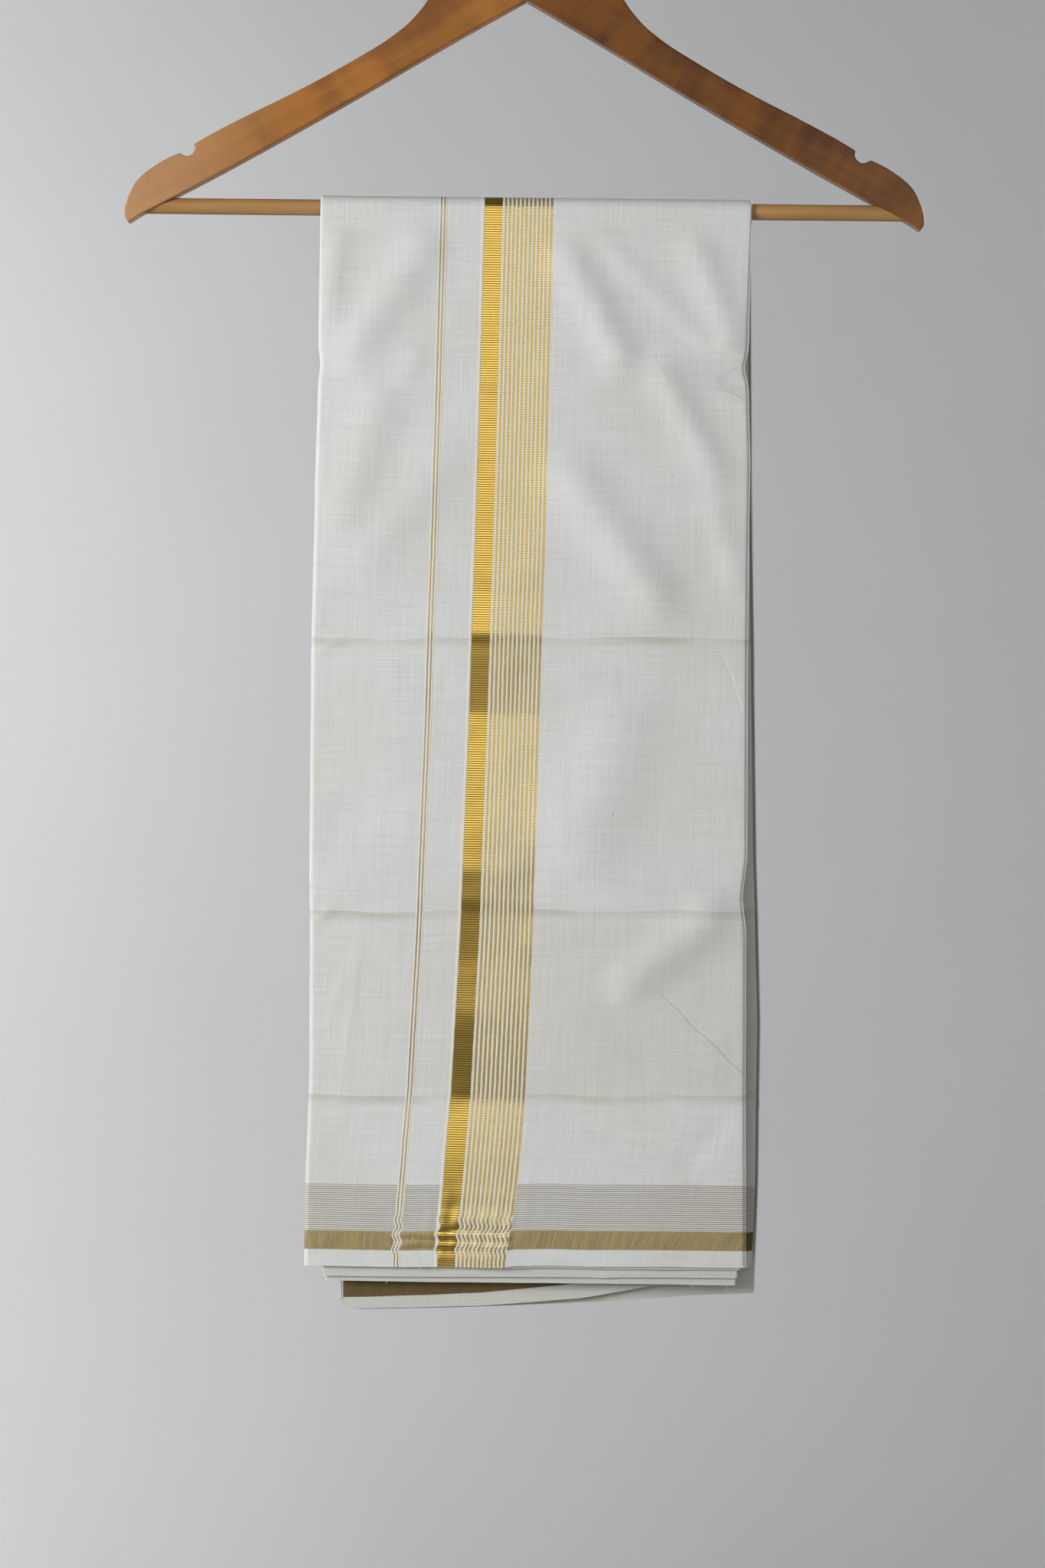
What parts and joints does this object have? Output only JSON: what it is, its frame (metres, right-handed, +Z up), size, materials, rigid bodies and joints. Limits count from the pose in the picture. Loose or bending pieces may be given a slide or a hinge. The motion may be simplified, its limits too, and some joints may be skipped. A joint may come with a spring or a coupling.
{
  "type": "folded dhoti cloth on wooden hanger",
  "caption": "Long off-white cotton cloth with a gold border, folded to a strip and hung over the bar of a flat wooden hanger.",
  "frame": {"origin": "the hook's seat, the lowest point of its inner crown, where it rests on a rail", "axes": "+Z up, +X along the hanger bar to the right of the cloth's front, front of the cloth towards -Y"},
  "size_m": [0.4448, 0.025, 0.8264],
  "materials": {
    "bordered_cotton": "matt off-white plain weave with a woven gold thread border",
    "plain_cotton": "matt off-white plain weave",
    "gold_banded_end": "matt off-white plain weave with a woven gold thread band",
    "varnished_arm_left": "satin honey varnish",
    "varnished_arm_right": "satin brown varnish",
    "pale_bar": "pale satin wood",
    "hook_steel": "bright wire"
  },
  "bodies": {
    "root": {"outer_ply": "bordered_cotton", "hidden_plies": "plain_cotton", "inner_end": "gold_banded_end", "arm_left": "varnished_arm_left", "arm_right": "varnished_arm_right", "trouser_bar": "pale_bar", "hook": "hook_steel"}
  },
  "joints": []
}
